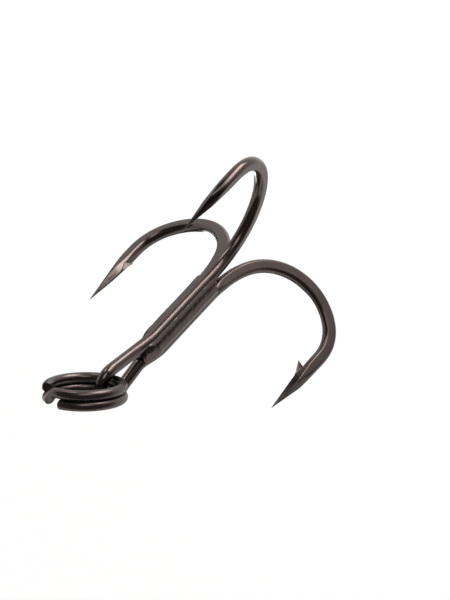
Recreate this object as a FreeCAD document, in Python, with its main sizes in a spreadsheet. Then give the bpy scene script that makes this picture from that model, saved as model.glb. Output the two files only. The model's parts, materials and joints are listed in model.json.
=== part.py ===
"""Treble hook on a split ring, in millimetres.

Row frame: origin at the centre of the split ring's hole, +Z up. The hook hangs from the ring with its shank
along Z and its bends down. The ring leans in the XZ plane, so the hook swings about a line along Y.
Hook frame: the same directions, with its origin at the centre of the eye's round end.
"""
import FreeCAD, Part
import Sketcher
import math
import os
from FreeCAD import Placement, Rotation, Vector

DIMENSIONS = {
    # the wire of the hooks
    "wire_dia": 0.96,            # round wire of the shank and the eye
    "braze_gap": 0.28,           # between neighbouring wires of the shank
    "forged_width": 1.08,        # wire of the bends, in the plane of the hook
    "forged_thickness": 0.86,    # between the two flats that forging leaves
    # the bend, from the shank outwards
    "shank_length": 12.55,       # centre of the eye down to the start of the bend
    "lead_in": 0.6,              # forged wire inside the braze, above the bend
    "throat_radius": 9.08,
    "throat_turn": 21.2,
    "bend_radius": 4.99,
    "bend_turn": 105.3,
    "heel_radius": 3.34,
    "heel_turn": 55.6,
    "point_length": 6.36,        # straight wire after the bend, to the needle tip
    # the point and the barb
    "needle_length": 3.3,
    "needle_tip_dia": 0.06,
    "barb_setback": 2.3,         # needle tip to where the barb rises out of the wire
    "barb_length": 2.05,
    "barb_overhang": 0.3,
    "barb_rise": 0.46,
    "barb_width": 0.56,
    "barb_tip_length": 0.04,
    "barb_tip_width": 0.14,
    "barb_cut_length": 1.1,
    "barb_cut_depth": 0.12,
    "barb_cut_reach": 3.0,       # size of the cutting wedge, in times the cut
    # the eye
    "eye_inner_radius": 0.87,
    "eye_twist": -18.0,          # plane of the eye, turned from the plane of its two shank wires
    "eye_shift": 0.25,           # from the shank's axis across to the centre of the eye
    "neck_drop": 3.4,            # centre of the eye down to where its two legs start to spread
    "near_neck": 0.64,           # centre of the eye across to the second hook's leg at the neck
    "far_neck": 0.75,            # and to the first hook's leg
    "neck_radius": 1.6,
    "shoulder_drop": 5.05,       # centre of the eye down to where the wires leave the shank
    "shoulder_radius": 3.0,
    # the third hook's shank, and the braze
    "end_drop": 4.55,            # centre of the eye down to the end of the single wire
    "end_taper": 1.4,
    "end_dia": 0.4,
    "web_radius": 0.83,
    "web_top_drop": 3.5,
    "web_top_radius": 0.42,
    "web_top_taper": 1.6,
    "collar_radius": 1.0,
    "collar_height": 0.9,
    "collar_hang": 0.45,         # how far the braze runs down between the bends
    # how the hook is turned under the ring
    "hook_clocking": 213.4,
    # the split ring
    "ring_wire_dia": 0.78,
    "ring_outer_dia": 6.38,
    "coil_gap": 0.012,
    "ring_lean": 29.6,
    "crossover_place": 160.0,    # round the ring, from the eye
    "crossover_turn": 40.0,
    "ring_end_gap": 3.0,
}
HOOKS = 3
CROSSOVER_STEPS = 8
VOLUME_TOLERANCE = 0.02          # share by which a swept wire may miss its expected volume

doc = FreeCAD.newDocument("treble_hook")
sheet = doc.addObject("Spreadsheet::Sheet", "Dimensions")


def fill_sheet():
    for row, (name, value) in enumerate(DIMENSIONS.items(), start=1):
        sheet.set(f"A{row}", name)
        sheet.set(f"B{row}", str(value))
        sheet.setAlias(f"B{row}", name)
    doc.recompute()


def size(name):
    """The sheet's present value of a named size."""
    return float(sheet.get(name))


def bind(thing, **formulas):
    """Ties properties to formulas that use the sheet's names, written with a leading underscore."""
    for prop, formula in formulas.items():
        thing.setExpression(prop, formula.replace("_.", "Dimensions."))


def wire_offset():
    """Shank axis to the centre of each of the three wires, which stand in a triangle."""
    return (size("wire_dia") + size("braze_gap")) / math.sqrt(3)


def ring_radius():
    return (size("ring_outer_dia") - size("ring_wire_dia")) / 2


def hook_frame():
    """The eye's centre lies on the ring's own centre line, at the low side of the leaning ring."""
    lean = math.radians(size("ring_lean"))
    low_side = Vector(-math.sin(lean), 0, -math.cos(lean)) * ring_radius()
    return Placement(low_side, Rotation())


def eye_side():
    """Across the eye, from its centre towards the second hook's leg."""
    middle = size("hook_clocking") + 180 / HOOKS
    across = math.radians(middle + 90 + size("eye_twist"))
    return Vector(math.cos(across), math.sin(across), 0)


def shank_frame():
    """On the shank's axis, level with the eye's centre, which stands a little to one side."""
    return hook_frame() * Placement(eye_side() * -size("eye_shift"), Rotation())


def arm_frame(azimuth):
    """X outwards from the shank in the plane of one hook, Z up, origin on the shank's axis."""
    return shank_frame() * Placement(Vector(), Rotation(Vector(0, 0, 1), azimuth))


def bend_path(name, azimuth):
    """Centre line of one bend: lead-in, throat, bend, heel, and the wire up to the ground needle."""
    sketch = doc.addObject("Sketcher::SketchObject", f"{name}_path")
    upright = Rotation(Vector(1, 0, 0), 90)
    sketch.Placement = arm_frame(azimuth) * Placement(Vector(), upright)
    offset = wire_offset()
    at = Vector(offset, -size("shank_length"), 0)
    top = at + Vector(0, size("lead_in"), 0)
    sketch.addGeometry(Part.LineSegment(top, at), False)
    heading = 180.0
    stages = ["throat", "bend", "heel"]
    for stage in stages:
        radius = size(f"{stage}_radius")
        start = math.radians(heading)
        heading += size(f"{stage}_turn")
        stop = math.radians(heading)
        centre = at - Vector(math.cos(start), math.sin(start), 0) * radius
        circle = Part.Circle(centre, Vector(0, 0, 1), radius)
        sketch.addGeometry(Part.ArcOfCircle(circle, start, stop), False)
        at = centre + Vector(math.cos(stop), math.sin(stop), 0) * radius
    along = Vector(-math.sin(math.radians(heading)), math.cos(math.radians(heading)), 0)
    straight = size("point_length") - size("needle_length")
    sketch.addGeometry(Part.LineSegment(at, at + along * straight), False)
    tie_path(sketch, stages)
    return sketch


def tie_path(sketch, stages):
    """Tangent joints, then the sizes, each tied to its cell."""
    limit = Sketcher.Constraint
    for first in range(len(stages) + 1):
        sketch.addConstraint(limit("Tangent", first, 2, first + 1, 1))
    sketch.addConstraint(limit("Vertical", 0))
    sizes = [
        ("lead", limit("Distance", 0, size("lead_in")), "_.lead_in"),
        ("offset", limit("DistanceX", -1, 1, 0, 2, wire_offset()), "(_.wire_dia + _.braze_gap) / sqrt(3)"),
        ("start", limit("DistanceY", 0, 2, -1, 1, size("shank_length")), "_.shank_length"),
        ("straight", limit("Distance", 4, size("point_length") - size("needle_length")),
         "_.point_length - _.needle_length"),
    ]
    for number, stage in enumerate(stages, start=1):
        radius = size(f"{stage}_radius")
        turn = math.radians(size(f"{stage}_turn"))
        sizes.append((f"{stage}_radius", limit("Radius", number, radius), f"_.{stage}_radius"))
        sizes.append((f"{stage}_turn", limit("Angle", number, turn), f"_.{stage}_turn * 1 deg"))
    for label, constraint, formula in sizes:
        number = sketch.addConstraint(constraint)
        sketch.renameConstraint(number, label)
        bind(sketch, **{f"Constraints.{label}": formula})


def point_frame(azimuth):
    """At the needle tip: Z along the point towards the tip, X inwards to the shank, Y across the hook."""
    at = Vector(wire_offset(), 0, -size("shank_length"))
    heading = 180.0
    for stage in ("throat", "bend", "heel"):
        radius = size(f"{stage}_radius")
        start = math.radians(heading)
        heading += size(f"{stage}_turn")
        stop = math.radians(heading)
        at = at - Vector(math.cos(start), 0, math.sin(start)) * radius
        at = at + Vector(math.cos(stop), 0, math.sin(stop)) * radius
    along = Vector(-math.sin(math.radians(heading)), 0, math.cos(math.radians(heading)))
    inwards = Vector(-along.z, 0, along.x)
    tip = at + along * size("point_length")
    turn = Rotation(inwards, Vector(0, -1, 0), along, "ZXY")
    return arm_frame(azimuth) * Placement(tip, turn)


def hook_arm(name, azimuth):
    """One bend with its flattened wire, needle point and sliced barb."""
    profile = doc.addObject("Part::Circle", f"{name}_round")
    bind(profile, Radius="_.forged_width / 2")
    above = Vector(wire_offset(), 0, size("lead_in") - size("shank_length"))
    profile.Placement = arm_frame(azimuth) * Placement(above, Rotation())
    swept = doc.addObject("Part::Sweep", f"{name}_bend")
    swept.Sections = [profile]
    swept.Spine = (bend_path(name, azimuth), [])
    swept.Solid = True
    swept.Frenet = False

    tip = point_frame(azimuth)
    needle = doc.addObject("Part::Cone", f"{name}_needle")
    bind(needle, Radius1="_.forged_width / 2", Radius2="_.needle_tip_dia / 2", Height="_.needle_length")
    needle.Placement = tip * Placement(Vector(0, 0, -size("needle_length")), Rotation())

    round_wire = doc.addObject("Part::MultiFuse", f"{name}_round_wire")
    round_wire.Shapes = [swept, needle]
    flats = doc.addObject("Part::Box", f"{name}_flats")
    bind(flats, Width="_.forged_thickness", Length="2 * (_.bend_radius + _.heel_radius)",
         Height="_.shank_length + 2 * _.bend_radius")
    depth = size("shank_length") + 2 * size("bend_radius")
    corner = Vector(0, -size("forged_thickness") / 2, -depth)
    flats.Placement = arm_frame(azimuth) * Placement(corner, Rotation())
    forged = doc.addObject("Part::MultiCommon", f"{name}_forged")
    forged.Shapes = [round_wire, flats]

    barb = doc.addObject("Part::Wedge", f"{name}_barb")
    bind(barb, Xmin="0 mm", Xmax="_.barb_length", Ymin="0 mm",
         Ymax="_.forged_width / 2 + _.barb_rise", Zmin="-_.barb_width / 2", Zmax="_.barb_width / 2",
         X2min="_.barb_length + _.barb_overhang - _.barb_tip_length", X2max="_.barb_length + _.barb_overhang",
         Z2min="-_.barb_tip_width / 2", Z2max="_.barb_tip_width / 2")
    cut = doc.addObject("Part::Wedge", f"{name}_barb_cut")
    bind(cut, Xmin="0 mm", Xmax="_.barb_cut_length", Ymin="0 mm", Ymax="_.barb_cut_depth * _.barb_cut_reach",
         Zmin="-_.forged_width", Zmax="_.forged_width",
         X2min="0 mm", X2max="_.barb_cut_length * _.barb_cut_reach", Z2min="-_.forged_width", Z2max="_.forged_width")
    backwards = Rotation(Vector(0, 0, -1), Vector(1, 0, 0), Vector(0, -1, 0), "XYZ")
    barb.Placement = tip * Placement(Vector(0, 0, -size("barb_setback")), backwards)
    root = Vector(size("forged_width") / 2 - size("barb_cut_depth"), 0,
                  -size("barb_setback") - size("barb_length"))
    cut.Placement = tip * Placement(root, backwards)
    notched = doc.addObject("Part::Cut", f"{name}_notched")
    notched.Base = forged
    notched.Tool = cut
    arm = doc.addObject("Part::MultiFuse", f"{name}_arm")
    arm.Shapes = [notched, barb]
    return arm


def rounded_route(points, radii):
    """Straight runs joined by tangent arcs, one radius for each inner corner."""
    edges = []
    last = points[0]
    for before, corner, after, radius in zip(points, points[1:], points[2:], radii):
        back = (before - corner).normalize()
        ahead = (after - corner).normalize()
        half_turn = (math.pi - back.getAngle(ahead)) / 2
        reach = radius * math.tan(half_turn)
        first = corner + back * reach
        second = corner + ahead * reach
        middle_way = (back + ahead).normalize()
        centre = corner + middle_way * (radius / math.cos(half_turn))
        middle = centre - middle_way * radius
        edges.append(Part.LineSegment(last, first).toShape())
        edges.append(Part.Arc(first, middle, second).toShape())
        last = second
    edges.append(Part.LineSegment(last, points[-1]).toShape())
    return edges


def eye_radius():
    return size("eye_inner_radius") + size("wire_dia") / 2


def leg_points(azimuth, side, neck):
    """From the bottom of one shank wire up to where its leg meets the eye's round end."""
    outwards = Vector(math.cos(math.radians(azimuth)), math.sin(math.radians(azimuth)), 0)
    shank = outwards * wire_offset() - eye_side() * size("eye_shift")
    drop = size("neck_drop")
    away = math.hypot(neck, drop)
    foot = math.atan2(-drop, neck) + math.acos(eye_radius() / away)
    return [
        shank - Vector(0, 0, size("shank_length")),
        shank - Vector(0, 0, size("shoulder_drop")),
        side * neck - Vector(0, 0, drop),
        side * (eye_radius() * math.cos(foot)) + Vector(0, 0, eye_radius() * math.sin(foot)),
    ]


def eye_wire(first_azimuth, second_azimuth):
    """Both shanks and the eye, bent from one round wire: a route in space, so its shape is set here."""
    radii = [size("shoulder_radius"), size("neck_radius")]
    near = leg_points(second_azimuth, eye_side(), size("near_neck"))
    far = leg_points(first_azimuth, eye_side() * -1, size("far_neck"))
    crown = Part.Arc(far[-1], Vector(0, 0, eye_radius()), near[-1]).toShape()
    down = rounded_route(near[::-1], radii[::-1])
    route = Part.Wire(rounded_route(far, radii) + [crown] + down)
    return route_solid(route, far[0], Vector(0, 0, 1), size("wire_dia"))


def route_solid(route, start, direction, dia):
    circle = Part.Wire(Part.Circle(start, direction, dia / 2).toShape())
    pipe = route.makePipeShell([circle], True, False)
    expected = math.pi * dia ** 2 / 4 * route.Length
    if abs(pipe.Volume / expected - 1) > VOLUME_TOLERANCE:
        raise ValueError(f"a swept wire has volume {pipe.Volume}, not {expected}")
    return pipe


def double_hook_wire(first_azimuth, second_azimuth):
    """One wire: a hook at each end, and the eye at its middle."""
    first = hook_arm("first", first_azimuth)
    second = hook_arm("second", second_azimuth)
    eye = doc.addObject("Part::Feature", "eye_wire")
    eye.Shape = eye_wire(first_azimuth, second_azimuth)
    eye.Placement = hook_frame()
    wire = doc.addObject("Part::MultiFuse", "double_hook_wire")
    wire.Shapes = [eye, first, second]
    return wire


def single_hook_wire(azimuth):
    """The third hook: a straight shank with a ground-down end, laid against the other two."""
    arm = hook_arm("third", azimuth)
    shank = doc.addObject("Part::Cylinder", "third_shank")
    bind(shank, Radius="_.wire_dia / 2", Height="_.shank_length - _.end_drop - _.end_taper")
    bottom = Vector(wire_offset(), 0, -size("shank_length"))
    shank.Placement = arm_frame(azimuth) * Placement(bottom, Rotation())
    end = doc.addObject("Part::Cone", "third_end")
    bind(end, Radius1="_.wire_dia / 2", Radius2="_.end_dia / 2", Height="_.end_taper")
    top = Vector(wire_offset(), 0, -size("end_drop") - size("end_taper"))
    end.Placement = arm_frame(azimuth) * Placement(top, Rotation())
    wire = doc.addObject("Part::MultiFuse", "single_hook_wire")
    wire.Shapes = [arm, shank, end]
    return wire


def braze_blank():
    """Stacked upwards: two cones of the collar, the web between the wires, and its tapering top."""
    blank = doc.addObject("Part::MultiFuse", "braze_blank")
    layers = [
        ("collar_foot", "_.collar_radius / 2", "_.collar_radius", "_.collar_height / 2"),
        ("collar_head", "_.collar_radius", "_.web_radius", "_.collar_height / 2"),
        ("web", "_.web_radius", "_.web_radius",
         "_.shank_length + _.collar_hang - _.collar_height - _.web_top_drop - _.web_top_taper"),
        ("web_top", "_.web_radius", "_.web_top_radius", "_.web_top_taper"),
    ]
    height = -size("shank_length") - size("collar_hang")
    solids = []
    for name, bottom, top, tall in layers:
        straight = bottom == top
        layer = doc.addObject("Part::Cylinder" if straight else "Part::Cone", name)
        bind(layer, **({"Radius": bottom} if straight else {"Radius1": bottom, "Radius2": top}), Height=tall)
        doc.recompute()
        layer.Placement = shank_frame() * Placement(Vector(0, 0, height), Rotation())
        height += layer.Height.Value
        solids.append(layer)
    blank.Shapes = solids
    return blank


def braze(wires):
    """Fills the core and the grooves of the shank, with a collar where the bends leave it."""
    solid = braze_blank()
    for number, wire in enumerate(wires):
        fitted = doc.addObject("Part::Cut", f"braze_fit_{number}")
        fitted.Base = solid
        fitted.Tool = wire
        solid = fitted
    solid.Label = "braze"
    return solid


def ring_point(angle, height):
    return Vector(ring_radius() * math.cos(angle), ring_radius() * math.sin(angle), height)


def ring_turn(start, stop, height):
    middle = (start + stop) / 2
    ends = [ring_point(angle, height) for angle in (start, middle, stop)]
    return Part.Arc(*ends).toShape()


def split_ring():
    """Two flat turns of one wire side by side, joined by a crossover, closed so that the turns lie together."""
    half_pitch = (size("ring_wire_dia") + size("coil_gap")) / 2
    place = math.radians(size("crossover_place"))
    half_cross = math.radians(size("crossover_turn")) / 2
    gap = math.radians(size("ring_end_gap"))
    after = place + half_cross - 2 * math.pi
    before = place - half_cross
    lower = ring_turn(after + gap, before, -half_pitch)
    steps = []
    for step in range(CROSSOVER_STEPS + 1):
        share = step / CROSSOVER_STEPS
        rise = share - math.sin(2 * math.pi * share) / (2 * math.pi)
        steps.append(ring_point(before + 2 * half_cross * share, half_pitch * (2 * rise - 1)))
    crossover = Part.BSplineCurve()
    tangents = [Vector(-math.sin(angle), math.cos(angle), 0) for angle in (before, before + 2 * half_cross)]
    crossover.interpolate(Points=steps, InitialTangent=tangents[0], FinalTangent=tangents[1])
    upper = ring_turn(place + half_cross, place - half_cross + 2 * math.pi - gap, half_pitch)
    route = Part.Wire([lower, crossover.toShape(), upper])
    start = lower.valueAt(lower.FirstParameter)
    direction = lower.tangentAt(lower.FirstParameter)
    ring = doc.addObject("Part::Feature", "split_ring")
    ring.Shape = route_solid(route, start, direction, size("ring_wire_dia"))
    ring.Placement = Placement(Vector(), Rotation(Vector(0, 1, 0), 90 + size("ring_lean")))
    return ring


def check(parts):
    doc.recompute()
    for thing in doc.Objects:
        if "Invalid" in thing.State or "Error" in thing.State:
            raise ValueError(f"{thing.Label} failed: {thing.State}")
    for part in parts:
        if part.Shape.isNull() or not part.Shape.isValid():
            raise ValueError(f"{part.Label} has no valid shape")
        if len(part.Shape.Solids) != 1:
            raise ValueError(f"{part.Label} has {len(part.Shape.Solids)} solids")


fill_sheet()
clocking = size("hook_clocking")
between = 360 / HOOKS
double_wire = double_hook_wire(clocking, clocking + between)
single_wire = single_hook_wire(clocking + 2 * between)
braze_fill = braze([double_wire, single_wire])
ring = split_ring()
parts = [double_wire, single_wire, braze_fill, ring]
check(parts)
os.makedirs("parts", exist_ok=True)
for part in parts:
    part.Shape.exportStep(f"parts/{part.Label}.step")
    box = part.Shape.BoundBox
    print(part.Label, "volume", round(part.Shape.Volume, 3),
          "z", round(box.ZMin, 2), round(box.ZMax, 2))
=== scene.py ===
import json
import math
import bpy
import numpy as np
from mathutils import Matrix, Vector, noise


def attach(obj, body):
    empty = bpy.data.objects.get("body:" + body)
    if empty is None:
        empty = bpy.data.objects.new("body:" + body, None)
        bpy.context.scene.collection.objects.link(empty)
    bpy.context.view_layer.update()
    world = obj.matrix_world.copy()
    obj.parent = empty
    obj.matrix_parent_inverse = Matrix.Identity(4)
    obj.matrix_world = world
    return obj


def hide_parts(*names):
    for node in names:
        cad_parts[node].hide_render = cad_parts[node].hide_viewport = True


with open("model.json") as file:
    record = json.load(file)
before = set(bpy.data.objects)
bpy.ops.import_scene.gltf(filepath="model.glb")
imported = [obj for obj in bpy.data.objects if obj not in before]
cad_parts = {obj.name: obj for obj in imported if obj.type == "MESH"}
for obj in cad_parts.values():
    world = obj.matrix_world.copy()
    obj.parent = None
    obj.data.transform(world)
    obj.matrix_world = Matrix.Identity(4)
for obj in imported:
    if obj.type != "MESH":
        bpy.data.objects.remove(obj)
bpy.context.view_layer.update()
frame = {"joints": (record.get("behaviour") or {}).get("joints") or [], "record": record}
mm = 0.001

# everything below is worked out in millimetres from the eye's centre, where the hook swings on the ring
eyeCentre = np.array(frame["joints"][0]["pos_m"]) / mm
ringCentre = np.array(frame["record"]["mounts"][0]["pos_m"]) / mm

print("frame loaded, eye centre", eyeCentre.round(3))

camera = {
    "aim": (-3.42, -0.58, -15.25),  # in the part's own frame, mm
    "distance": 228.9,
    "azimuth": 40.2,
    "elevation": 31.6,
    "roll": -137.1,
    "lens": 177.2,
    "sensor": 36.0,
    "nearest": 0.01,          # metres
    "farthest": 20,
}


def cameraAxes():
    a, e, r = (math.radians(camera[k]) for k in ("azimuth", "elevation", "roll"))
    back = Vector((math.sin(a) * math.cos(e), -math.cos(a) * math.cos(e), math.sin(e)))
    level = Vector((math.cos(a), math.sin(a), 0))
    right = Matrix.Rotation(r, 3, back) @ level
    return right, back.cross(right), back


def placeCamera():
    data = bpy.data.cameras.new("camera")
    data.lens = camera["lens"]
    data.sensor_width = camera["sensor"]
    data.clip_start = camera["nearest"]
    data.clip_end = camera["farthest"]
    cam = bpy.data.objects.new("camera", data)
    bpy.context.scene.collection.objects.link(cam)
    right, up, back = cameraAxes()
    turn = Matrix((right, up, back)).transposed().to_4x4()
    cam.matrix_world = Matrix.Translation((Vector(camera["aim"]) + back * camera["distance"]) * mm) @ turn
    bpy.context.scene.camera = cam


placeCamera()

creaseAngle = 38.0            # edges that turn more than this stay sharp, degrees
upward = np.array([0, 0, 1.0])


def azimuthVector(degrees):
    a = math.radians(degrees)
    return np.array([math.cos(a), math.sin(a), 0.0])


def unit(v):
    return v / np.linalg.norm(v, axis=-1, keepdims=True)


def soften(values, step, reach):
    # gaussian average along the line, with the ends carried on straight
    half = int(4 * reach / step)
    weights = np.exp(-0.5 * (np.arange(-half, half + 1) * step / reach) ** 2)
    weights /= weights.sum()
    ramp = np.arange(1, half + 1)
    if values.ndim == 1:
        padded = np.concatenate([np.full(half, values[0]), values, np.full(half, values[-1])])
        return np.convolve(padded, weights, "valid")
    before = values[0] - np.outer(ramp[::-1], values[1] - values[0])
    after = values[-1] + np.outer(ramp, values[-1] - values[-2])
    padded = np.vstack([before, values, after])
    return np.stack([np.convolve(padded[:, k], weights, "valid") for k in range(values.shape[1])], axis=1)


def resample(points, step):
    along = np.concatenate([[0], np.cumsum(np.linalg.norm(np.diff(points, axis=0), axis=1))])
    want = np.linspace(0, along[-1], int(round(along[-1] / step)) + 1)
    return np.stack([np.interp(want, along, points[:, k]) for k in range(3)], axis=1)


def buildTube(name, rings, along, marks=None):
    # rings is (stations, around, 3) in mm; each end closes on a point
    count, around = rings.shape[:2]
    verts = np.vstack([rings.reshape(-1, 3), rings[0].mean(0)[None], rings[-1].mean(0)[None]]) * mm
    first, last = count * around, count * around + 1
    faces, uvs = [], []
    for i in range(count - 1):
        for j in range(around):
            k = (j + 1) % around
            faces.append((i * around + j, i * around + k, (i + 1) * around + k, (i + 1) * around + j))
            uvs += [(along[i], j / around), (along[i], (j + 1) / around),
                    (along[i + 1], (j + 1) / around), (along[i + 1], j / around)]
    for j in range(around):
        k = (j + 1) % around
        faces.append((first, k, j))
        uvs += [(along[0], 0.5), (along[0], (j + 1) / around), (along[0], j / around)]
        faces.append((last, (count - 1) * around + j, (count - 1) * around + k))
        uvs += [(along[-1], 0.5), (along[-1], j / around), (along[-1], (j + 1) / around)]
    mesh = bpy.data.meshes.new(name)
    mesh.from_pydata(verts.tolist(), [], faces)
    layer = mesh.uv_layers.new(name="wire")
    layer.data.foreach_set("uv", np.array(uvs, float).ravel())
    for label, values in (marks or {}).items():
        attribute = mesh.attributes.new(label, "FLOAT", "POINT")
        attribute.data.foreach_set("value", np.append(values.ravel(), [0, 0]).astype(np.float32))
    mesh.shade_smooth()
    mesh.set_sharp_from_angle(angle=math.radians(creaseAngle))
    mesh.update()
    obj = bpy.data.objects.new(name, mesh)
    bpy.context.scene.collection.objects.link(obj)
    return obj


eye = {
    "radius": 1.35,           # centre line of its round end
    "twist": -18.0,           # of its plane, from the plane of its two shanks, degrees
    "shift": 0.25,            # from the shank's axis across to the eye's centre
    "neckDrop": 3.4,
    "nearNeck": 0.64,         # the middle of the neck to the centre of each leg
    "farNeck": 0.75,
    "shoulderDrop": 5.05,
    "shoulderRadius": 3.0,
    "neckRadius": 1.6,
    "ease": 0.22,
    "step": 0.03,
    "crownPoints": 60,
    "arcPoints": 16,
}
wire = {
    "clocking": 213.4,        # first hook's direction; the others follow at thirds of a turn
    "offset": 0.716,          # shank axis to each wire's centre
    "round": 0.48,            # radius of the drawn wire
    "forged": 0.54,           # half width at the flattened bends
    "flat": 0.43,             # half thickness between the flats
    "straightTop": -6.95,     # where the hooks join the eye's part of the wire
    "bendStart": -12.55,
    "bends": ((9.08, 21.2), (4.99, 105.3), (3.34, 55.6)),
    "point": 6.36,
    "ease": 0.5,              # how softly one bend runs into the next
    "forgeLead": 0.4,         # the flats begin this far above the bend
    "forgeRun": 1.2,          # and reach full width over this length
    "looseSide": 0.60,        # reach of the flats where there are none
    "flatEdge": 0.035,
    "flatFade": 0.02,
    "around": 72,
    "crowding": 0.33,         # how much closer the mesh is on the inner side
    "step": 0.01,
    "tipStations": (0.0, 0.03, 0.08),
    "fineStation": 0.045,     # between sections at the needle and barb, and elsewhere
    "station": 0.12,
}
third = {
    "endDrop": 4.55,
    "taper": 1.4,
    "endRadius": 0.16,
    "tuck": 0.7,              # how far its end leans in to the shank's axis, as a share of what is ground off
    "fade": 1.0,              # the braze closes over its end within this height
    "sections": 30,
    "gap": 0.1,               # between the last section of the shank and the first of the bend
}
eyeSide = azimuthVector(wire["clocking"] + 150 + eye["twist"])
shankShift = -eye["shift"] * eyeSide
needle = {
    "tip": 0.012,
    "inner": (43.6, 0.0985),  # facets: angle from the wire's inner or outer side, growth for each mm
    "outer": (49.6, 0.1089),
    "sharpness": 26,          # of the edges between facets
    "groundEnd": 3.6,         # the grinding stops this far back
    "groundFade": 6,
    "wornMiddle": 4.4,        # and rubs the wire's back round here
    "wornSpread": 1.1,
    "wornFrom": 0.35,
    "wornFade": 0.3,
}
barb = {
    "start": 3.15,            # distances back from the needle tip
    "end": 4.5,
    "rise": 0.55,
    "hook": 2.3,              # how sharply it curls up
    "sides": 2.7,
    "lean": 0.25,
    "notch": 0.10,
    "notchEnd": 5.7,
    "seat": 0.93,             # height of its root, as a share of the inner facets' edge
    "fineEnd": 5.9,
}


def turnsRound():
    # angles round the wire; 0 is the inner side
    theta = np.linspace(0, 2 * math.pi, wire["around"], endpoint=False)
    return theta - wire["crowding"] * np.sin(theta)


def bendLine(azimuth):
    # one hook's centre line: points, inward directions, distances to the tip and from the shank
    step = wire["step"]
    lead = wire["straightTop"] - wire["bendStart"]
    lengths = [lead] + [r * math.radians(turn) for r, turn in wire["bends"]] + [wire["point"]]
    curve = [0] + [1 / r for r, turn in wire["bends"]] + [0]
    ends = np.cumsum(lengths)
    s = np.arange(0, ends[-1] + step / 2, step)
    kappa = np.array(curve)[np.minimum(np.searchsorted(ends, s), len(curve) - 1)]
    kappa = soften(kappa, step, wire["ease"])
    heading = -math.pi / 2 + np.concatenate([[0], np.cumsum((kappa[1:] + kappa[:-1]) / 2 * step)])
    middle = (heading[1:] + heading[:-1]) / 2
    u = wire["offset"] + np.concatenate([[0], np.cumsum(np.cos(middle) * step)])
    z = wire["straightTop"] + np.concatenate([[0], np.cumsum(np.sin(middle) * step)])
    out = azimuthVector(azimuth)
    points = shankShift + u[:, None] * out + z[:, None] * upward
    inward = -np.sin(heading)[:, None] * out + np.cos(heading)[:, None] * upward
    return points, inward, s[-1] - s, s


def hookStations(toTip, s):
    # close together at the needle and the barb, wider elsewhere
    want = list(wire["tipStations"])
    while want[-1] < s[-1]:
        want.append(want[-1] + wire["fineStation" if want[-1] < barb["fineEnd"] else "station"])
    want = np.array([w for w in want if w < s[-1] - 2 * wire["step"]] + [s[-1]])
    return np.array([np.argmin(np.abs(toTip - w)) for w in want[::-1]])


def softPlanes(theta, planes, bodyRadius, sharp):
    total = np.full_like(theta, bodyRadius ** -sharp)
    for angle, reach in planes:
        facing = np.maximum(np.cos(theta - math.radians(angle)), 0)
        total += (facing / reach) ** sharp
    return total ** (-1 / sharp)


def hookSection(theta, tip, forged):
    # distance of the surface from the centre line, round the wire; 0 is the inner side
    body = wire["round"] + (wire["forged"] - wire["round"]) * forged
    side = wire["looseSide"] + (wire["flat"] - wire["looseSide"]) * forged
    reachIn = needle["tip"] + needle["inner"][1] * tip
    reachOut = needle["tip"] + needle["outer"][1] * tip
    planes = [(90, side), (-90, side)]
    planes += [(sign * needle["inner"][0], reachIn) for sign in (1, -1)]
    planes += [(180 + sign * needle["outer"][0], reachOut) for sign in (1, -1)]
    if barb["end"] < tip < barb["notchEnd"]:
        share = (tip - barb["end"]) / (barb["notchEnd"] - barb["end"])
        planes.append((0, body - barb["notch"] * (1 - share) ** 1.5))
    radius = softPlanes(theta, planes, body, needle["sharpness"])
    lift = np.zeros_like(theta)
    if barb["start"] < tip <= barb["end"]:
        share = (tip - barb["start"]) / (barb["end"] - barb["start"])
        root = min(body, barb["seat"] * reachIn / math.cos(math.radians(needle["inner"][0])))
        height = root + barb["rise"] * share ** barb["hook"]
        facing = np.maximum(np.cos(theta), 0.05)
        ridge = height / (facing + barb["sides"] * np.abs(np.sin(theta)))
        ridge[np.cos(theta) < 0.1] = 0
        lift = np.clip(ridge - radius, 0, None) * share ** 2
        radius = np.maximum(radius, ridge)
    return radius, lift


def hookRings(azimuth):
    points, inward, toTip, s = bendLine(azimuth)
    pick = hookStations(toTip, s)
    along = unit(np.gradient(points, axis=0))
    across = np.cross(along, inward)
    theta = turnsRound()
    forgeStart = wire["straightTop"] - wire["bendStart"] - wire["forgeLead"]
    rings, flats, grounds = [], [], []
    for i in pick:
        tip = toTip[i]
        forged = min(1, max(0, (s[i] - forgeStart) / wire["forgeRun"]))
        radius, lift = hookSection(theta, tip, forged)
        ring = points[i] + (radius * np.cos(theta))[:, None] * inward[i]
        ring = ring + (radius * np.sin(theta))[:, None] * across[i]
        ring = ring - (lift * barb["lean"] / barb["rise"])[:, None] * along[i]
        rings.append(ring)
        level = np.abs(radius * np.sin(theta))
        facet = 1 / (1 + math.exp((tip - needle["groundEnd"]) * needle["groundFade"]))
        onFlat = np.clip((level - wire["flat"] + wire["flatEdge"]) / wire["flatFade"], 0, 1)
        flats.append(forged * (1 - facet) * onFlat)
        worn = np.clip((-np.cos(theta) - needle["wornFrom"]) / needle["wornFade"], 0, 1)
        worn = worn * math.exp(-((tip - needle["wornMiddle"]) / needle["wornSpread"]) ** 2)
        grounds.append(np.maximum(facet, worn))
    return np.array(rings), np.array(flats), np.array(grounds), s[pick]


def cornerArc(before, corner, after, radius):
    back, ahead = unit(before - corner), unit(after - corner)
    half = (math.pi - math.acos(float(np.clip(back @ ahead, -1, 1)))) / 2
    middle = unit(back + ahead)
    centre = corner + middle * radius / math.cos(half)
    a = corner + back * radius * math.tan(half) - centre
    b = corner + ahead * radius * math.tan(half) - centre
    total = 2 * half
    shares = np.linspace(0, 1, eye["arcPoints"])
    return [centre + (math.sin((1 - t) * total) * a + math.sin(t * total) * b) / math.sin(total)
            for t in shares]


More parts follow.
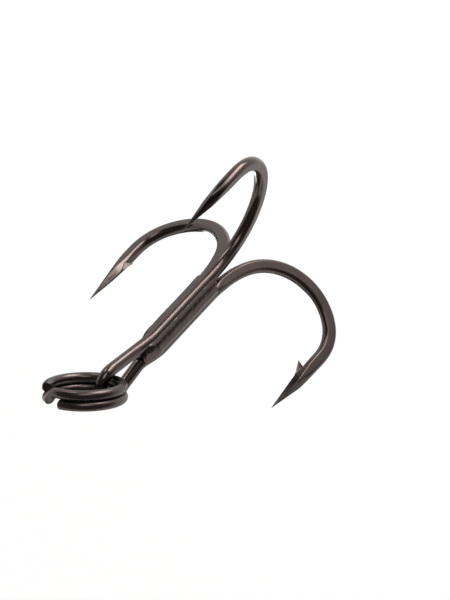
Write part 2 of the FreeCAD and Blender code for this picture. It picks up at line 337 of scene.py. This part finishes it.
def eyeLeg(azimuth, side, half):
    drop = eye["neckDrop"]
    foot = math.atan2(-drop, half) + math.acos(eye["radius"] / math.hypot(half, drop))
    out = azimuthVector(azimuth) * wire["offset"] + shankShift
    start = out + upward * wire["straightTop"]
    shoulder = out - upward * eye["shoulderDrop"]
    neck = side * half - upward * drop
    touch = side * eye["radius"] * math.cos(foot) + upward * eye["radius"] * math.sin(foot)
    line = [start]
    line += cornerArc(start, shoulder, neck, eye["shoulderRadius"])
    line += cornerArc(shoulder, neck, touch, eye["neckRadius"])
    return line + [touch], foot


def eyeLine(firstAzimuth, secondAzimuth):
    far, farFoot = eyeLeg(firstAzimuth, -eyeSide, eye["farNeck"])
    near, nearFoot = eyeLeg(secondAzimuth, eyeSide, eye["nearNeck"])
    turns = np.linspace(math.pi - farFoot, nearFoot, eye["crownPoints"])[1:-1]
    crown = [eye["radius"] * (math.cos(a) * eyeSide + math.sin(a) * upward) for a in turns]
    line = resample(np.array(far + crown + near[::-1]), eye["step"])
    return soften(line, eye["step"], eye["ease"])


def carriedFrames(points, start, stop):
    # carries the section's inner side along the line, then spreads the twist that is left over
    along = unit(np.gradient(points, axis=0))
    inner = [unit(start - along[0] * (start @ along[0]))]
    for i in range(1, len(points)):
        v = inner[-1] - along[i] * (inner[-1] @ along[i])
        inner.append(unit(v))
    inner = np.array(inner)
    across = np.cross(along, inner)
    left = math.atan2(stop @ across[-1], stop @ inner[-1])
    turn = np.linspace(0, left, len(points))[:, None]
    turned = np.cos(turn) * inner + np.sin(turn) * across
    return turned, np.cross(along, turned)


def eyeRings(firstAzimuth, secondAzimuth):
    points = eyeLine(firstAzimuth, secondAzimuth)
    inner, across = carriedFrames(points, azimuthVector(firstAzimuth), azimuthVector(secondAzimuth))
    theta = turnsRound()
    pick = range(2, len(points) - 2, 3)
    cosine, sine = np.cos(theta)[:, None], np.sin(theta)[:, None]
    rings = [points[i] + wire["round"] * (cosine * inner[i] + sine * across[i]) for i in pick]
    return np.array(rings), np.array([i * eye["step"] for i in pick])


def doubleHookWire():
    first, second = wire["clocking"], wire["clocking"] + 120
    a, flatA, groundA, alongA = hookRings(first)
    b, flatB, groundB, alongB = hookRings(second)
    middle, alongMiddle = eyeRings(first, second)
    # the first hook is run backwards, tip to shank, so its sections turn the other way round
    flip = -np.arange(wire["around"])
    rings = np.concatenate([a[::-1][:, flip], middle, b])
    none = np.zeros(middle.shape[:2])
    flats = np.concatenate([flatA[::-1][:, flip], none, flatB])
    grounds = np.concatenate([groundA[::-1][:, flip], none, groundB])
    along = np.concatenate([alongA[-1] - alongA[::-1], alongA[-1] + alongMiddle,
                            alongA[-1] + alongMiddle[-1] + third["gap"] + alongB])
    return buildTube("doubleHookWire", rings + eyeCentre, along, {"flat": flats, "ground": grounds})


def thirdRadius(drop):
    # the third wire's shank is ground to a blunt point at its end
    share = np.clip((drop - third["endDrop"]) / third["taper"], 0, 1)
    return third["endRadius"] + (wire["round"] - third["endRadius"]) * math.sin(share * math.pi / 2)


def thirdReach(radius):
    return wire["offset"] - third["tuck"] * (wire["round"] - radius)


def singleHookWire():
    azimuth = wire["clocking"] + 240
    rings, flats, grounds, along = hookRings(azimuth)
    out = azimuthVector(azimuth)
    theta = turnsRound()
    across = np.cross(-upward, out)
    extra = []
    for drop in np.linspace(third["endDrop"], -wire["straightTop"] - third["gap"], third["sections"]):
        radius = thirdRadius(drop)
        centre = shankShift + out * thirdReach(radius) - upward * drop
        extra.append(centre + radius * (np.cos(theta)[:, None] * out + np.sin(theta)[:, None] * across))
    none = np.zeros((len(extra), wire["around"]))
    stretch = -wire["straightTop"] - third["endDrop"]
    allAlong = np.concatenate([np.linspace(0, stretch, len(extra)), stretch + along + 2 * wire["step"]])
    marks = {"flat": np.vstack([none, flats]), "ground": np.vstack([none, grounds])}
    return buildTube("singleHookWire", np.concatenate([np.array(extra), rings]) + eyeCentre, allAlong, marks)


brazeFill = {
    "bottom": -12.95,
    "collar": -12.3,
    "top": -3.35,
    "film": 0.115,            # over the wires
    "least": 0.012,
    "bulge": 0.07,            # of the collar: how much more, how far up its middle is, and over what height
    "bulgeRise": 0.42,
    "bulgeHeight": 0.34,
    "leanAzimuth": 40.0,      # the groove where there is less of it
    "leanSpread": 42,
    "lean": 0.06,
    "softness": 34.0,         # how roundly it covers the wires, degrees
    "taper": (-4.6, 1.4, 0.11),  # where it thins out upwards, over what height and by how much
    "bigLumps": (2.2, 1.1, 7),   # how many round it, how close together down it, and where they start
    "smallLumps": (4.5, 2.6, -3),
    "bigRise": (0.05, 0.35, 1.0),  # height, then its share on the shank and the extra share at the collar
    "smallRise": (0.035, 0.4, 2.2),
    "edgeWander": 0.12,
    "edgeHeight": 0.16,
    "onWire": 0.6,            # a wire's surface is at least this far from the shank's axis
    "sink": 0.06,             # how far it hides in the wires below its lower edge
    "web": (0.9, 0.35),       # how far it draws in between them there
    "bottomCap": (0.12, 1.1),  # each end's radius: at its tip, and what it gains
    "topCap": (0.15, 0.9),
    "topHeight": 0.5,
    "around": 120,
    "levels": 190,
}


def wireCentres(z):
    # centres and radii of the three wires at one height
    found = []
    first, second = wire["clocking"], wire["clocking"] + 120
    share = np.clip((z + eye["shoulderDrop"]) / (eye["shoulderDrop"] - eye["neckDrop"]), 0, 1.1)
    for azimuth, reach in ((first, -eye["farNeck"]), (second, eye["nearNeck"])):
        out = azimuthVector(azimuth)[:2] * wire["offset"]
        neck = (eyeSide * (eye["shift"] + reach))[:2]
        found.append((out + (neck - out) * share, wire["round"]))
    below = max(0, wire["bendStart"] - z)
    spread = below ** 2 / 2 / wire["bends"][0][0]
    found = [(c * (1 + spread / wire["offset"]), r) for c, r in found]
    out = azimuthVector(wire["clocking"] + 240)[:2]
    gone = np.clip((z + third["endDrop"]) / third["fade"], 0, 1)
    radius = thirdRadius(-z) * (1 - gone / 2)
    found.append((out * (thirdReach(radius) * (1 - gone) + spread), radius))
    return found


def hullRadius(circles, theta):
    # outline of a band drawn tight round the wires, and of the wires themselves
    phi = np.linspace(0, 2 * math.pi, 240, endpoint=False)
    normal = np.stack([np.cos(phi), np.sin(phi)], 1)
    reach = np.max([normal @ c + r for c, r in circles], axis=0)
    facing = np.cos(phi[None] - theta[:, None])
    grazing, farOff = 0.08, 9
    band = np.where(facing > grazing, reach[None] / np.maximum(facing, grazing), farOff).min(1)
    ray = np.stack([np.cos(theta), np.sin(theta)], 1)
    outer = np.zeros_like(theta)
    for c, r in circles:
        along = ray @ c
        gap = r * r - (c @ c - along ** 2)
        outer = np.maximum(outer, np.where((gap > 0) & (along > 0), along + np.sqrt(np.maximum(gap, 0)), 0))
    return band, outer


def softenRound(values, reach):
    # gaussian average round a closed outline
    step = 360 / len(values)
    half = int(3 * reach / step)
    weights = np.exp(-0.5 * (np.arange(-half, half + 1) * step / reach) ** 2)
    padded = np.concatenate([values[-half:], values, values[:half]])
    return np.convolve(padded, weights / weights.sum(), "valid")


def lumpsRound(z, theta, kind):
    size, stretch, start = kind
    return np.array([noise.noise(Vector((size * math.cos(a), size * math.sin(a), z * stretch + start)))
                     for a in theta])


def brazeFilm(z, theta, band, outer):
    fill = brazeFill
    lean = fill["lean"] * np.exp(-((np.degrees(theta) - fill["leanAzimuth"]) / fill["leanSpread"]) ** 2)
    radius = softenRound(band, fill["softness"]) + fill["film"] - lean
    radius = np.maximum(radius, outer + fill["least"])
    collar = math.exp(-((z - fill["collar"] - fill["bulgeRise"]) / fill["bulgeHeight"]) ** 2)
    lumps = lumpsRound(z, theta, fill["bigLumps"])
    start, height, depth = fill["taper"]
    thin = np.clip((z - start) / height, 0, 1)
    radius = radius - depth * thin * thin * (3 - 2 * thin)
    radius = radius + fill["bulge"] * collar
    small = lumpsRound(z, theta, fill["smallLumps"])
    for shape, (rise, shank, atCollar) in ((lumps, fill["bigRise"]), (small, fill["smallRise"])):
        radius = radius + rise * shape * (shank + atCollar * collar) * (1 - thin)
    return radius, lumps


def braze():
    fill = brazeFill
    theta = np.linspace(0, 2 * math.pi, fill["around"], endpoint=False)
    levels = np.linspace(fill["bottom"], fill["top"], fill["levels"])
    rings = []
    for z in levels:
        band, outer = hullRadius(wireCentres(z), theta)
        radius, lumps = brazeFilm(z, theta, band, outer)
        edge = fill["collar"] + fill["edgeWander"] * lumps
        below = np.clip((edge - z) / fill["edgeHeight"], 0, 1)
        share, deepest = fill["web"]
        webbed = band - share * np.clip(band - outer, 0, deepest)
        onWire = outer > fill["onWire"]
        sunk = np.minimum(radius, np.where(onWire, outer - fill["sink"], webbed))
        radius = radius + (sunk - radius) * below * below * (3 - 2 * below)
        meniscus = np.clip((z - fill["bottom"]) / (fill["collar"] - fill["bottom"]), 0, 1)
        close = np.clip((fill["top"] - z) / fill["topHeight"], 0, 1)
        for full, (tip, gain) in ((meniscus, fill["bottomCap"]), (close, fill["topCap"])):
            radius = np.minimum(radius, tip + gain * math.sqrt(full))
        rings.append(np.stack([radius * np.cos(theta), radius * np.sin(theta), np.full_like(theta, z)], 1))
    return buildTube("brazeFill", np.array(rings) + eyeCentre + shankShift, levels - levels[0])


ring = {
    "radius": 2.8,            # centre line
    "wire": 0.39,             # radius of its wire
    "pitch": 0.792,           # from one turn to the other
    "lean": 29.6,
    "crossover": 160.0,       # where the wire steps from one turn to the other, and over what turn
    "crossoverTurn": 40.0,
    "endGap": 3.0,            # degrees from each end to the step
    "endBevel": 0.07,
    "stations": 520,
    "around": 56,
}


def splitRing():
    place, cross = math.radians(ring["crossover"]), math.radians(ring["crossoverTurn"])
    start = place + cross / 2 - 2 * math.pi + math.radians(ring["endGap"])
    stop = place - cross / 2 + 2 * math.pi - math.radians(ring["endGap"])
    angle = np.linspace(start, stop, ring["stations"])
    share = np.clip((angle - place) / cross + 0.5, 0, 1)
    rise = share - np.sin(2 * math.pi * share) / (2 * math.pi)
    points = np.stack([ring["radius"] * np.cos(angle), ring["radius"] * np.sin(angle),
                       ring["pitch"] * (rise - 0.5)], 1)
    along = unit(np.gradient(points, axis=0))
    out = np.stack([np.cos(angle), np.sin(angle), np.zeros_like(angle)], 1)
    across = np.cross(along, out)
    theta = np.linspace(0, 2 * math.pi, ring["around"], endpoint=False)
    rings = points[:, None] + ring["wire"] * (np.cos(theta)[None, :, None] * out[:, None]
                                              + np.sin(theta)[None, :, None] * across[:, None])
    for end in (0, -1):
        rings[end] = points[end] + (rings[end] - points[end]) * (1 - ring["endBevel"] / ring["wire"])
    tilt = math.radians(90 + ring["lean"])
    turn = np.array([[math.cos(tilt), 0, math.sin(tilt)], [0, 1, 0], [-math.sin(tilt), 0, math.cos(tilt)]])
    return buildTube("splitRing", rings @ turn.T + ringCentre, (angle - angle[0]) * ring["radius"])


print("making the wires")
doubleWire = doubleHookWire()
singleWire = singleHookWire()
print("making the braze and the ring")
brazePiece = braze()
ringPiece = splitRing()

nickel = {
    "colour": (0.100, 0.078, 0.072, 1),
    "tarnish": (0.082, 0.063, 0.057, 1),
    # near-black painted shade for the score lines on the ground surfaces
    "paintedGrooveShade": (0.016, 0.012, 0.011, 1),
    "shine": 0.13,            # roughness of the plating, and what its patches add
    "patchy": 0.09,
    "dull": 0.34,             # roughness of the forged flats
    "groundRoughness": 0.19,
    "fineDepth": 0.00001,     # metres
    "lumpDepth": 0.00003,
    "scoreDepth": 4.5,
    # how far the painted shade darkens the score lines
    "grooveShadeStrength": 0.95,
}
# stretch on each axis, size and detail; the last two run along the wire
grains = {
    "patches": ((1, 1, 1), 620, 4),
    "ripple": ((1, 1, 1), 2400, 3),
    "lines": ((0.35, 60, 1), 3.0, 3),
    "marks": ((0.1, 6, 1), 2.2, 3),
}
mixSockets = {"FLOAT": (2, 3, 0), "RGBA": (6, 7, 2)}


def addNode(tree, kind, **values):
    node = tree.nodes.new(kind)
    for key, value in values.items():
        if key in node.inputs:
            node.inputs[key].default_value = value
        else:
            setattr(node, key, value)
    return node


def grain(tree, source, name):
    scale, size, detail = grains[name]
    mapping = addNode(tree, "ShaderNodeMapping", Scale=scale)
    tree.links.new(source, mapping.inputs["Vector"])
    texture = addNode(tree, "ShaderNodeTexNoise", Scale=size, Detail=detail, Roughness=0.6)
    tree.links.new(mapping.outputs["Vector"], texture.inputs["Vector"])
    return texture.outputs["Fac"]


def remap(tree, source, low, high, fromLow=0.3, fromHigh=0.7):
    node = addNode(tree, "ShaderNodeMapRange")
    node.inputs["From Min"].default_value = fromLow
    node.inputs["From Max"].default_value = fromHigh
    node.inputs["To Min"].default_value = low
    node.inputs["To Max"].default_value = high
    tree.links.new(source, node.inputs["Value"])
    return node.outputs["Result"]


def combine(tree, operation, a, b):
    node = addNode(tree, "ShaderNodeMath", operation=operation)
    tree.links.new(a, node.inputs[0])
    tree.links.new(b, node.inputs[1])
    return node.outputs[0]


def mix(tree, kind, factor, a, b):
    node = addNode(tree, "ShaderNodeMix", data_type=kind)
    tree.links.new(factor, node.inputs[0])
    first, second, result = mixSockets[kind]
    for index, value in ((first, a), (second, b)):
        if isinstance(value, bpy.types.NodeSocket):
            tree.links.new(value, node.inputs[index])
        else:
            node.inputs[index].default_value = value
    return node.outputs[result]


def bump(tree, height, strength, depth):
    node = addNode(tree, "ShaderNodeBump", Strength=strength, Distance=depth)
    tree.links.new(height, node.inputs["Height"])
    return node


def workedWire(tree, wireUv, colour, roughness, heights):
    # duller on the forged flats, scored lengthwise where it is ground, with painted shade laid into the score
    # lines
    flat = addNode(tree, "ShaderNodeAttribute", attribute_name="flat").outputs["Fac"]
    ground = addNode(tree, "ShaderNodeAttribute", attribute_name="ground").outputs["Fac"]
    marks = grain(tree, wireUv, "marks")
    roughness = mix(tree, "FLOAT", flat, roughness, nickel["dull"])
    roughness = mix(tree, "FLOAT", ground, roughness, nickel["groundRoughness"])
    scored = combine(tree, "MULTIPLY", remap(tree, marks, 0, nickel["scoreDepth"], 0.25, 0.75), ground)
    heights = combine(tree, "ADD", scored, heights)
    # painted shade: the score lines on ground surfaces are mixed toward near-black
    grooveShadeMask = combine(tree, "MULTIPLY", remap(tree, marks, nickel["grooveShadeStrength"], 0, 0.42, 0.6), ground)
    return mix(tree, "RGBA", grooveShadeMask, colour, nickel["paintedGrooveShade"]), roughness, heights


def platedFinish(name, lineStrength, lumpStrength, shine, worked):
    material = bpy.data.materials.new(name)
    material.use_nodes = True
    tree = material.node_tree
    shader = tree.nodes["Principled BSDF"]
    shader.inputs["Metallic"].default_value = 1.0
    place = tree.nodes.new("ShaderNodeTexCoord")
    wireUv = place.outputs["UV"]
    patches = grain(tree, place.outputs["Object"], "patches")
    lines = grain(tree, wireUv, "lines")
    ripple = grain(tree, place.outputs["Object"], "ripple")
    colour = mix(tree, "RGBA", remap(tree, patches, 0, 1), nickel["colour"], nickel["tarnish"])
    roughness = remap(tree, patches, shine, shine + nickel["patchy"])
    heights = mix(tree, "FLOAT", remap(tree, patches, 0.35, 0.65), lines, ripple)
    if worked:
        colour, roughness, heights = workedWire(tree, wireUv, colour, roughness, heights)
    tree.links.new(colour, shader.inputs["Base Color"])
    tree.links.new(roughness, shader.inputs["Roughness"])
    fine = bump(tree, heights, lineStrength, nickel["fineDepth"])
    coarse = bump(tree, ripple, lumpStrength, nickel["lumpDepth"])
    tree.links.new(fine.outputs["Normal"], coarse.inputs["Normal"])
    tree.links.new(coarse.outputs["Normal"], shader.inputs["Normal"])
    return material


def dress(piece, material, body, node):
    piece.data.materials.append(material)
    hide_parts(node)
    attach(piece, body)


print("plating")
hookPlating = platedFinish("blackNickelWire", 0.5, 0.12, nickel["shine"], True)
brazePlating = platedFinish("blackNickelBraze", 0.5, 0.95, nickel["shine"] + 0.03, False)
ringPlating = platedFinish("blackNickelRing", 0.4, 0.15, nickel["shine"] + 0.12, False)
dress(doubleWire, hookPlating, "hook", "double_hook_wire")
dress(singleWire, hookPlating, "hook", "single_hook_wire")
dress(brazePiece, brazePlating, "hook", "braze")
dress(ringPiece, ringPlating, "ring", "split_ring")

studio = {
    "floorDrop": 150.0,       # the hook hangs well above the floor, mm
    "floorSize": 3000.0,
    "floorColour": (0.94, 0.94, 0.935),
    "sky": 1.05,
    "roughness": 0.9,
}
# place is right, up and back from the line of sight, then distance and size in mm, and brightness
lamps = {
    "key": ((0.33, 0.88, 0.33), 100, (44, 80), 8.0),
    "front": ((-0.05, 0.40, 0.9), 100, (44, 34), 3.2),
    "edge": ((-0.40, 0.87, 0.28), 100, (14, 40), 6.0),
    "behind": ((-0.35, -0.25, -0.9), 95, (18, 70), 5.0),
}
# the dim sides of the room, seen only in the shine: which way, how wide (1 is a point, 0 is half of all
# round), and the pale board let into it
rooms = {
    "nearSide": ((0.0, 0.0, 1.0), 0.16, (0.73, 0.50, 0.46)),
    "farSide": ((-0.35, -0.25, -0.9), 0.72, (-0.70, -0.10, -0.70)),
}
roomRadius = 115.0
roomTone = (0.09, 0.088, 0.085)
boardReach = 17.0             # half the board's width as seen from the hook, degrees


def boardTurn(place):
    right, up, back = cameraAxes()
    towards = (right * place[0] + up * place[1] + back * place[2]).normalized()
    side = (back.cross(towards) if abs(towards.dot(back)) < 0.95 else right).normalized()
    turn = Matrix((side, towards.cross(side), towards)).transposed()
    return towards, turn.to_quaternion()


def addLamp(name, place, distance, size, brightness):
    towards, turn = boardTurn(place)
    data = bpy.data.lights.new(name, "AREA")
    data.shape = "RECTANGLE"
    data.size, data.size_y = size[0] * mm, size[1] * mm
    data.energy = brightness * math.pi * data.size * data.size_y
    lamp = bpy.data.objects.new(name, data)
    lamp.rotation_mode = "QUATERNION"
    lamp.rotation_quaternion = turn
    lamp.location = (Vector(camera["aim"]) + towards * distance) * mm
    lamp.visible_camera = False
    bpy.context.scene.collection.objects.link(lamp)


def plainMaterial(name, colour, roughness):
    material = bpy.data.materials.new(name)
    material.use_nodes = True
    shader = material.node_tree.nodes["Principled BSDF"]
    shader.inputs["Base Color"].default_value = (*colour, 1)
    shader.inputs["Roughness"].default_value = roughness
    return material


def addBoard(name, corners, colour):
    mesh = bpy.data.meshes.new(name)
    mesh.from_pydata(corners, [], [(0, 1, 2, 3)])
    board = bpy.data.objects.new(name, mesh)
    board.data.materials.append(plainMaterial(name, colour, studio["roughness"]))
    bpy.context.scene.collection.objects.link(board)


def addRoom(name, facing, edge, board):
    # a rounded wall, open where the pale board stands
    right, up, back = cameraAxes()
    turn = boardTurn(facing)[1]
    pale = (right * board[0] + up * board[1] + back * board[2]).normalized()
    rows, columns = 48, 96
    verts, faces = [], []
    for i in range(rows + 1):
        depth = edge + (1 - edge) * math.sin(i / rows * math.pi / 2)
        wide = math.sqrt(max(0, 1 - depth * depth))
        for j in range(columns):
            a = 2 * math.pi * j / columns
            way = turn @ Vector((wide * math.cos(a), wide * math.sin(a), depth))
            verts.append((Vector(camera["aim"]) + way * roomRadius) * mm)
            if i < rows and math.degrees(way.angle(pale)) > boardReach:
                k = (j + 1) % columns
                faces.append((i * columns + j, i * columns + k, (i + 1) * columns + k, (i + 1) * columns + j))
    mesh = bpy.data.meshes.new(name)
    mesh.from_pydata(verts, [], faces)
    wall = bpy.data.objects.new(name, mesh)
    wall.data.materials.append(plainMaterial(name, roomTone, studio["roughness"]))
    bpy.context.scene.collection.objects.link(wall)
    wall.visible_camera = False
    wall.visible_diffuse = False
    wall.visible_shadow = False


def addStudio():
    half = studio["floorSize"] / 2 * mm
    level = -studio["floorDrop"] * mm
    corners = [(x * half, y * half, level) for x, y in ((-1, -1), (1, -1), (1, 1), (-1, 1))]
    addBoard("floor", corners, studio["floorColour"])
    world = bpy.data.worlds.new("studio")
    world.use_nodes = True
    world.node_tree.nodes["Background"].inputs["Color"].default_value = (1, 1, 1, 1)
    world.node_tree.nodes["Background"].inputs["Strength"].default_value = studio["sky"]
    bpy.context.scene.world = world
    for name, values in lamps.items():
        addLamp(name, *values)
    for name, values in rooms.items():
        addRoom(name, *values)
    bpy.context.scene.view_settings.view_transform = "Standard"


print("floor and light")
addStudio()
